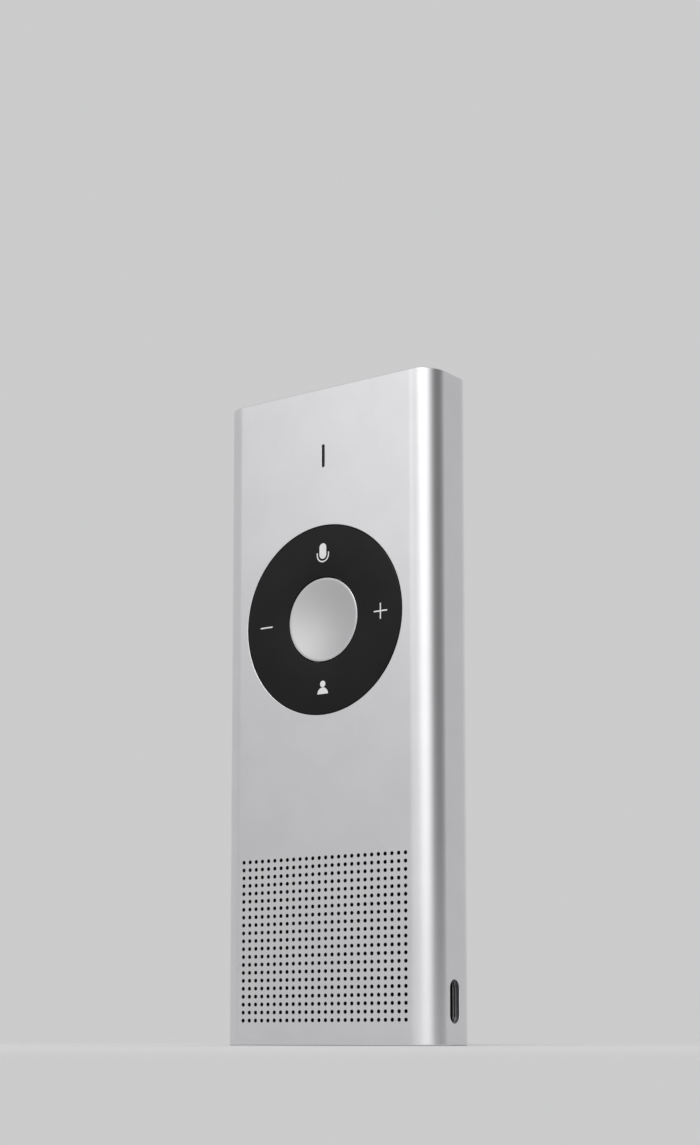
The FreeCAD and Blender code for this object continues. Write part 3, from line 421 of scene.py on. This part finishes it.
def on_side(depth):
    """Maps a point (y, z) to a depth below the right side face."""
    return lambda point: (SIDE - depth, point[0], point[1])


def rectangle(left, right, low, high):
    return [(left, low), (right, low), (right, high), (left, high)]


def pierced_wall(bm, left, right, holes, place, undrilled):
    """One flat wall of the tube with its openings, whose outer edges are slightly broken. The
    openings after the undrilled ones get walls of near-black metal, painted shade in the holes."""
    edge = 0.05
    outer = rectangle(left, right, END_ROUND, HEIGHT - END_ROUND)
    inner = rectangle(left, right, 0, HEIGHT)
    outside = holed_panel(bm, place(0), outer, holes(edge), False)[1:]
    inside = holed_panel(bm, place(WALL), inner, holes(0), True)[1:]
    for number, loop in enumerate(holes(0)):
        rim = [bm.verts.new(place(edge)(point)) for point in loop]
        bridge(bm, rim, outside[number])
        bridge(bm, inside[number], rim, material=int(number >= undrilled))


def make_tube():
    """The extruded tube with its aperture, slot, port and drilled field as real openings."""
    bm = bmesh.new()

    def row(inset, z):
        return [bm.verts.new((x, y, z)) for x, y in rounded_outline(inset)]

    lower_rows = [row(inset, drop) for inset, drop in end_steps()]
    upper_rows = [row(inset, HEIGHT - drop) for inset, drop in end_steps()]
    inner_low = row(WALL, 0)
    inner_high = row(WALL, HEIGHT)
    front_side = len(inner_low) - 1
    right_side = FRONT_STEPS
    skip = (front_side, right_side)
    bridge(bm, lower_rows[0], upper_rows[0], skip=skip)
    for near, far in zip(lower_rows, lower_rows[1:]):
        bridge(bm, far, near)
    for near, far in zip(upper_rows, upper_rows[1:]):
        bridge(bm, near, far)
    bridge(bm, inner_low, lower_rows[-1])
    bridge(bm, upper_rows[-1], inner_high)
    bridge(bm, inner_high, inner_low, skip=skip)

    flat = WIDTH / 2 - FRONT_CORNER
    pierced_wall(bm, -flat, flat, front_holes, on_front, undrilled=2)
    pierced_wall(
        bm, FRONT + FRONT_CORNER, BACK - BACK_CORNER, side_holes, on_side, undrilled=1)
    bmesh.ops.remove_doubles(bm, verts=bm.verts, dist=MERGE)
    piece = new_object("tube", bm)
    split_sharp(piece, 30.0)
    smooth = piece.modifiers.new("weights", "WEIGHTED_NORMAL")
    smooth.keep_sharp = True
    smooth.weight = 100
    finish_piece(piece, "anodised_aluminium", "housing", "anodised_aluminium", "body_sleeve")
    # Second material: near-black walls of the small holes, painted shade
    piece.data.materials.append(MATERIALS["hole_wall_painted_shade"])


# Keys


def turned(bm, profile, count):
    """Turns a profile of (radius, y) about the key's axis; a radius of 0 makes a pole."""
    rows = []
    for radius, y in profile:
        if radius == 0:
            rows.append([bm.verts.new((0, y, KEY_Z))])
            continue
        rows.append([
            bm.verts.new((x, y, z)) for x, z in circle_points((0, KEY_Z), radius, count)])
    for near, far in zip(rows, rows[1:]):
        if len(near) == 1:
            for i in range(count):
                bm.faces.new((near[0], far[(i + 1) % count], far[i]))
        elif len(far) == 1:
            for i in range(count):
                bm.faces.new((near[i], near[(i + 1) % count], far[0]))
        else:
            bridge(bm, far, near)


def front_edge(radius, edge, side):
    """Profile points of a rounded front edge, from the face to the wall: side is 1 at an outer
    edge and -1 at an inner one."""
    points = []
    for i in range(EDGE_STEPS + 1):
        angle = math.pi / 2 * i / EDGE_STEPS
        points.append((
            radius - side * edge * (1 - math.sin(angle)), FRONT + edge * (1 - math.cos(angle))))
    return points


def post(bm, x, z, radius, front, back):
    """A short closed pin along Y."""
    start = [bm.verts.new((u, front, w)) for u, w in circle_points((x, z), radius, 24)]
    end = [bm.verts.new((u, back, w)) for u, w in circle_points((x, z), radius, 24)]
    bridge(bm, end, start)
    bm.faces.new(start)
    bm.faces.new(list(reversed(end)))


def make_ring():
    """The black rocker ring with softly rounded front edges, four plungers and two pivots."""
    bm = bmesh.new()
    inner = BUTTON_RADIUS + KEY_GAP
    counterbore = 10.0
    flange = RING_RADIUS + 1.2
    back = RING_CEILING + 0.6
    edge = 0.22
    profile = [(counterbore, RING_CEILING), (inner, RING_CEILING)]
    profile += front_edge(inner, edge, -1)[::-1] + front_edge(RING_RADIUS, edge, 1)
    profile += [
        (RING_RADIUS, RING_CEILING), (flange, RING_CEILING), (flange, back), (counterbore, back),
        (counterbore, RING_CEILING)]
    turned(bm, profile, 192)
    bmesh.ops.remove_doubles(bm, verts=bm.verts, dist=MERGE)

    root = back - 0.2
    plunger_circle, plunger_radius = 12.2, 0.9
    for across, up in ((1, 0), (-1, 0), (0, 1), (0, -1)):
        post(bm, across * plunger_circle, KEY_Z + up * plunger_circle, plunger_radius,
             root, PLUNGER_END)
    pivot_reach, pivot_radius = 15.5, 0.8
    for x in (-pivot_reach, pivot_reach):
        post(bm, x, KEY_Z, pivot_radius, root, PIVOT_END)
    piece = new_object("rocker_ring", bm)
    split_sharp(piece, 40.0)
    finish_piece(piece, "ring_black", "ring", "ring_black", "nav_ring")


def make_button():
    """The dished centre key, with its flange and the stem over its dome."""
    bm = bmesh.new()
    dish_edge = BUTTON_RADIUS - 0.45
    dish_drop = 0.85
    dish_steps = 24
    ball = (dish_edge ** 2 + dish_drop ** 2) / (2 * dish_drop)
    edge = 0.18
    flange_width = 1.4
    flange = BUTTON_RADIUS + flange_width
    hollow = BUTTON_RADIUS - flange_width
    ceiling = RING_CEILING + 0.35
    back = ceiling + 0.5
    web = FRONT + dish_drop + 0.65
    stem = 1.5
    profile = [(0, FRONT + dish_drop)]
    for i in range(1, dish_steps + 1):
        radius = dish_edge * i / dish_steps
        profile.append((radius, FRONT + dish_drop - ball + math.sqrt(ball ** 2 - radius ** 2)))
    profile += front_edge(BUTTON_RADIUS, edge, 1)
    profile += [
        (BUTTON_RADIUS, ceiling), (flange, ceiling), (flange, back), (hollow, back),
        (hollow, web), (stem, web), (stem, PLUNGER_END), (0, PLUNGER_END)]
    turned(bm, profile, 128)
    piece = new_object("dished_button", bm)
    split_sharp(piece, 40.0)
    finish_piece(piece, "button_metal", "button", "button_metal", "centre_button")


# Legends on the ring


def flat_print(name, loops):
    """A thin printed mark just in front of the ring: each loop is a closed outline (x, z)."""
    bm = bmesh.new()
    proud = 0.012
    sunk = 0.002
    for loop in loops:
        face = [bm.verts.new((x, FRONT - proud, z)) for x, z in loop]
        back = [bm.verts.new((x, FRONT + sunk, z)) for x, z in loop]
        bm.faces.new(face)
        bridge(bm, back, face)
    bmesh.ops.recalc_face_normals(bm, faces=bm.faces)
    piece = new_object(name, bm, smooth=False)
    finish_piece(piece, "legend_white", "ring", "ring_black")


def bar(x, z, width, height):
    """An upright rectangle about its middle."""
    return rectangle(x - width / 2, x + width / 2, z - height / 2, z + height / 2)


def arc_band(centre, radius, width, start, end, steps=24):
    """A band that follows part of a circle, angles in degrees."""
    outer = []
    inner = []
    for i in range(steps + 1):
        angle = math.radians(start + (end - start) * i / steps)
        direction = (math.cos(angle), math.sin(angle))
        outer.append((
            centre[0] + (radius + width / 2) * direction[0],
            centre[1] + (radius + width / 2) * direction[1]))
        inner.append((
            centre[0] + (radius - width / 2) * direction[0],
            centre[1] + (radius - width / 2) * direction[1]))
    return outer + inner[::-1]


def make_minus_and_plus(line):
    minus_x, minus_length = -13.5, 2.9
    flat_print("mark_minus", [bar(minus_x, KEY_Z, minus_length, line)])
    plus_x, plus_length = 13.3, 3.0
    arm = plus_length / 2 - line / 2
    arm_place = (plus_length / 2 + line / 2) / 2
    flat_print("mark_plus", [
        bar(plus_x, KEY_Z, plus_length, line), bar(plus_x, KEY_Z + arm_place, line, arm),
        bar(plus_x, KEY_Z - arm_place, line, arm)])


def make_microphone(line):
    capsule_z, capsule_length, capsule_width = KEY_Z + 13.15, 3.0, 1.6
    cup_z, cup_radius, cup_arm = KEY_Z + 12.45, 1.32, 0.44
    capsule = slot_points((0, capsule_z), capsule_length, capsule_width, 12)
    cup = arc_band((0, cup_z), cup_radius, line, 180, 360)
    arms = [bar(side * cup_radius, cup_z + cup_arm / 2, line, cup_arm) for side in (-1, 1)]
    flat_print("mark_microphone", [capsule, cup] + arms)


def make_person():
    middle = KEY_Z - 13.05
    head_radius, head_rise = 0.62, 0.75
    shoulder_width, shoulder_drop = 1.24, 1.15
    head = circle_points((0, middle + head_rise), head_radius, 24)
    shoulders = arc_band(
        (0, middle - shoulder_drop), shoulder_width / 2, shoulder_width, 0, 180)
    flat_print("mark_person", [head, shoulders])


def make_legends():
    """The printed marks on the four sides of the ring."""
    line = 0.26
    make_minus_and_plus(line)
    make_microphone(line)
    make_person()


# Camera, light and floor

# Millimetres and degrees
CAMERA_PLACE = (226.07, -306.37, 1.61)
CAMERA_RISE = 6.614
CAMERA_TURN = 36.231
CAMERA_LENS = 63.8
CAMERA_SHIFT = 0.2

BACKGROUND = (0.60, 0.60, 0.605)
FLOOR = (0.62, 0.62, 0.625)

# Metres from the object: the floor is plain up to the first and background from the second
FLOOR_FADE = (0.06, 0.24)
FLOOR_REACH = 3.0

# Name, place in metres, side in metres and power in watts of each lamp, and where they all point
LAMPS = (
    ("key", (0.35, -0.7, 0.85), 0.5, 3.0),
    ("front", (-0.19, -0.42, 0.30), 0.25, 0.09))
LAMP_TARGET = (0, 0, 0.06)

# Light on plain surfaces: its strength at the horizon and its rise towards the top
STUDIO_BASE = 0.30
STUDIO_RISE = 0.85

# Soft panels that metal and glass show before the background. Each has an azimuth from the front
# towards the right, an elevation, the cosine of its reach, and how much brighter than the
# background it is; a negative one is a dark screen.
PANELS = (
    (44, 14, 0.82, 1.00),
    (16, 18, 0.45, 0.42),
    (-40, -8, 0.90, -0.35),
    (99, 5, 0.61, -0.80),
    (165, 10, 0.70, 0.12))


def make_camera():
    """The photograph's viewing angle, with part of its rise taken by tilting the camera."""
    data = bpy.data.cameras.new("camera")
    data.sensor_width = 36.0
    data.sensor_fit = "AUTO"
    data.lens = CAMERA_LENS
    data.shift_y = CAMERA_SHIFT
    data.clip_start = 0.01
    camera = bpy.data.objects.new("camera", data)
    camera.location = [value * MM for value in CAMERA_PLACE]
    camera.rotation_euler = (math.radians(90 + CAMERA_RISE), 0, math.radians(CAMERA_TURN))
    bpy.context.scene.collection.objects.link(camera)
    bpy.context.scene.camera = camera


def make_lamps():
    """Soft square lamps in front of the object."""
    for name, place, side, power in LAMPS:
        data = bpy.data.lights.new(name, "AREA")
        data.shape = "SQUARE"
        data.size = side
        data.energy = power
        lamp = bpy.data.objects.new(name, data)
        lamp.location = place
        aim = Vector(LAMP_TARGET) - Vector(place)
        lamp.rotation_euler = aim.to_track_quat("-Z", "Y").to_euler()
        bpy.context.scene.collection.objects.link(lamp)


def make_stage():
    """A pale floor that fades into the background away from the object."""
    bm = bmesh.new()
    corners = rectangle(-FLOOR_REACH, FLOOR_REACH, -FLOOR_REACH, FLOOR_REACH)
    bm.faces.new([bm.verts.new((x, y, 0)) for x, y in corners])
    mesh = bpy.data.meshes.new("floor")
    bm.to_mesh(mesh)
    bm.free()
    floor = bpy.data.objects.new("floor", mesh)
    bpy.context.scene.collection.objects.link(floor)
    material, tree, shader = new_material("floor_pale")
    shader.inputs["Base Color"].default_value = (*FLOOR, 1)
    shader.inputs["Roughness"].default_value = 0.9
    far = add_node(tree, "ShaderNodeEmission")
    far.inputs["Color"].default_value = (*BACKGROUND, 1)
    place = add_node(tree, "ShaderNodeTexCoord")
    away = add_node(tree, "ShaderNodeVectorMath", operation="LENGTH")
    tree.links.new(place.outputs["Object"], away.inputs[0])
    fade = add_node(tree, "ShaderNodeMapRange", interpolation_type="SMOOTHSTEP")
    fade.inputs["From Min"].default_value = FLOOR_FADE[0]
    fade.inputs["From Max"].default_value = FLOOR_FADE[1]
    tree.links.new(away.outputs["Value"], fade.inputs["Value"])
    mix = add_node(tree, "ShaderNodeMixShader")
    tree.links.new(fade.outputs["Result"], mix.inputs["Fac"])
    tree.links.new(shader.outputs["BSDF"], mix.inputs[1])
    tree.links.new(far.outputs["Emission"], mix.inputs[2])
    tree.links.new(mix.outputs["Shader"], tree.nodes["Material Output"].inputs["Surface"])
    mesh.materials.append(material)


def direction_lobe(tree, direction, azimuth, elevation, reach):
    """1 in a direction, and 0 where the cosine of the angle to it is under reach. Azimuth turns
    from the front towards the right."""
    turn, rise = math.radians(azimuth), math.radians(elevation)
    axis = (math.sin(turn) * math.cos(rise), -math.cos(turn) * math.cos(rise), math.sin(rise))
    dot = add_node(tree, "ShaderNodeVectorMath", operation="DOT_PRODUCT")
    dot.inputs[1].default_value = axis
    tree.links.new(direction, dot.inputs[0])
    lobe = add_node(tree, "ShaderNodeMapRange", interpolation_type="SMOOTHSTEP")
    lobe.inputs["From Min"].default_value = reach
    lobe.inputs["From Max"].default_value = 1.0
    tree.links.new(dot.outputs["Value"], lobe.inputs["Value"])
    return lobe.outputs["Result"]


def weighted_sum(tree, base, terms):
    """base plus the sum of value times weight."""
    total = None
    for value, weight in terms:
        node = add_node(tree, "ShaderNodeMath", operation="MULTIPLY_ADD")
        node.inputs[1].default_value = weight
        tree.links.new(value, node.inputs[0])
        if total is None:
            node.inputs[2].default_value = base
        else:
            tree.links.new(total, node.inputs[2])
        total = node.outputs["Value"]
    return total


def matt_light(tree, direction):
    """Strength of the light on matt surfaces."""
    height = add_node(tree, "ShaderNodeSeparateXYZ")
    tree.links.new(direction, height.inputs[0])
    return weighted_sum(tree, STUDIO_BASE, [(height.outputs["Z"], STUDIO_RISE)])


def background_strength(tree, direction, camera_ray):
    """1 to the camera, and 1 with the panels added to other rays."""
    panels = weighted_sum(tree, 0.0, [
        (direction_lobe(tree, direction, azimuth, elevation, reach), weight)
        for azimuth, elevation, reach, weight in PANELS])
    other_ray = add_node(tree, "ShaderNodeMath", operation="SUBTRACT")
    other_ray.inputs[0].default_value = 1.0
    tree.links.new(camera_ray, other_ray.inputs[1])
    strength = add_node(tree, "ShaderNodeMath", operation="MULTIPLY_ADD")
    tree.links.new(panels, strength.inputs[0])
    tree.links.new(other_ray.outputs["Value"], strength.inputs[1])
    strength.inputs[2].default_value = 1.0
    return strength.outputs["Value"]


def any_of(tree, values):
    """The largest of some values from 0 to 1."""
    largest = values[0]
    for value in values[1:]:
        node = add_node(tree, "ShaderNodeMath", operation="MAXIMUM")
        tree.links.new(largest, node.inputs[0])
        tree.links.new(value, node.inputs[1])
        largest = node.outputs["Value"]
    return largest


def make_world():
    """A pale background to the camera and in metal and glass, and soft light on matt surfaces."""
    world = bpy.data.worlds.new("studio")
    bpy.context.scene.world = world
    world.use_nodes = True
    tree = world.node_tree
    direction = add_node(tree, "ShaderNodeTexCoord").outputs["Generated"]
    ray = add_node(tree, "ShaderNodeLightPath").outputs
    studio = tree.nodes["Background"]
    studio.inputs["Color"].default_value = (1, 1, 1, 1)
    tree.links.new(matt_light(tree, direction), studio.inputs["Strength"])
    seen = add_node(tree, "ShaderNodeBackground")
    seen.inputs["Color"].default_value = (*BACKGROUND, 1)
    tree.links.new(
        background_strength(tree, direction, ray["Is Camera Ray"]), seen.inputs["Strength"])
    mix = add_node(tree, "ShaderNodeMixShader")
    sees_background = any_of(
        tree, [ray["Is Camera Ray"], ray["Is Glossy Ray"], ray["Is Transmission Ray"]])
    tree.links.new(sees_background, mix.inputs["Fac"])
    tree.links.new(studio.outputs["Background"], mix.inputs[1])
    tree.links.new(seen.outputs["Background"], mix.inputs[2])
    tree.links.new(mix.outputs["Shader"], tree.nodes["World Output"].inputs["Surface"])


bpy.context.scene.view_settings.view_transform = "Standard"
dress_frame()
make_tube()
make_ring()
make_button()
make_legends()
make_stage()
make_world()
make_lamps()
make_camera()
